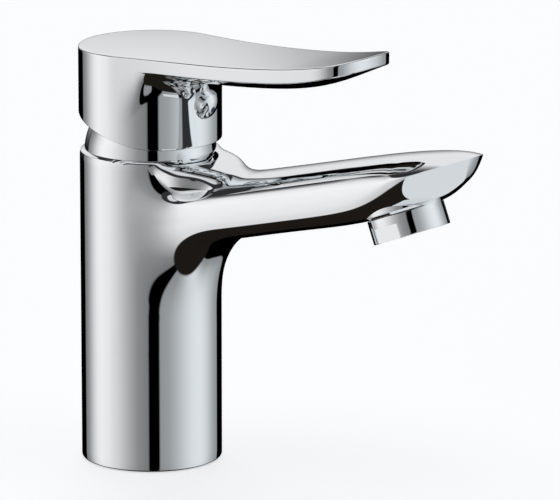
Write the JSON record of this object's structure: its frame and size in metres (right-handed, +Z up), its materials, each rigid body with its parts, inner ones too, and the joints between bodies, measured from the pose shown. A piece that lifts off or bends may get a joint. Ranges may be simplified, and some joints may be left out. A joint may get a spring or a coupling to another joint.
{
  "type": "basin mixer faucet",
  "caption": "Single-lever basin mixer: upright column with a rising flat spout, tilted aerator and a flat lever on a dome, with its ceramic cartridge inside.",
  "frame": {"origin": "centre of the foot's bottom face, on the basin or worktop", "axes": "+Z up along the column, -Y from the column towards the spout's outlet and the user, +X to the right as seen by the user"},
  "size_m": [0.0506, 0.1663, 0.158],
  "materials": {
    "chrome_body": "polished chrome plate on brass",
    "chrome_handle": "polished chrome plate on zinc",
    "chrome_trim": "polished chrome plate",
    "chrome_aerator": "polished chrome plate on brass, wrench flats machined",
    "brass": "machined, bare",
    "steel": "turned stainless steel",
    "cartridge_plastic": "moulded acetal, natural white",
    "grey_plastic": "moulded glass-filled nylon",
    "red_plastic": "moulded acetal",
    "white_plastic": "moulded acetal",
    "green_plastic": "moulded acetal",
    "ceramic": "lapped alumina ceramic",
    "black_rubber": "moulded EPDM",
    "grey_silicone": "moulded silicone",
    "blue_enamel": "dark blue enamel"
  },
  "bodies": {
    "base": {"body": "chrome_body", "base_gasket": "black_rubber", "cartridge_base": "cartridge_plastic", "port_seals": "black_rubber", "chamber_seal": "black_rubber", "disc_seal": "grey_silicone", "cartridge_housing": "cartridge_plastic", "fixed_disc": "ceramic", "swing_stop": "red_plastic", "cartridge_nut": "brass", "dome_ring": "chrome_trim", "aerator_housing": "chrome_aerator", "aerator_insert": "white_plastic", "flow_regulator": "green_plastic", "aerator_screen": "white_plastic", "aerator_gasket": "black_rubber"},
    "swivel": {"rotor": "grey_plastic", "lift_pin": "steel"},
    "lever": {"handle": "chrome_handle", "handle_screw": "steel", "index_plug": "chrome_trim", "index_dot": "blue_enamel", "cartridge_stem": "brass"},
    "disc_slide": {"disc_carrier": "grey_plastic", "moving_disc": "ceramic"}
  },
  "joints": [
    {"name": "handle_swing", "type": "hinge", "parent": "base", "child": "swivel", "pos_m": [0, 0, 0.1106], "axis": [0, 0, 1], "range_deg": [-45, 45]},
    {"name": "handle_lift", "type": "hinge", "parent": "swivel", "child": "lever", "pos_m": [0, 0, 0.1106], "axis": [-1, 0, 0], "range_deg": [0, 25]},
    {"name": "disc_travel", "type": "slide", "parent": "swivel", "child": "disc_slide", "axis": [0, -1, 0], "range_m": [0, 0.00475]}
  ],
  "couplings": [
    {"joint": "disc_travel", "follows": "handle_lift", "m_per_rad": 0.01085}
  ]
}
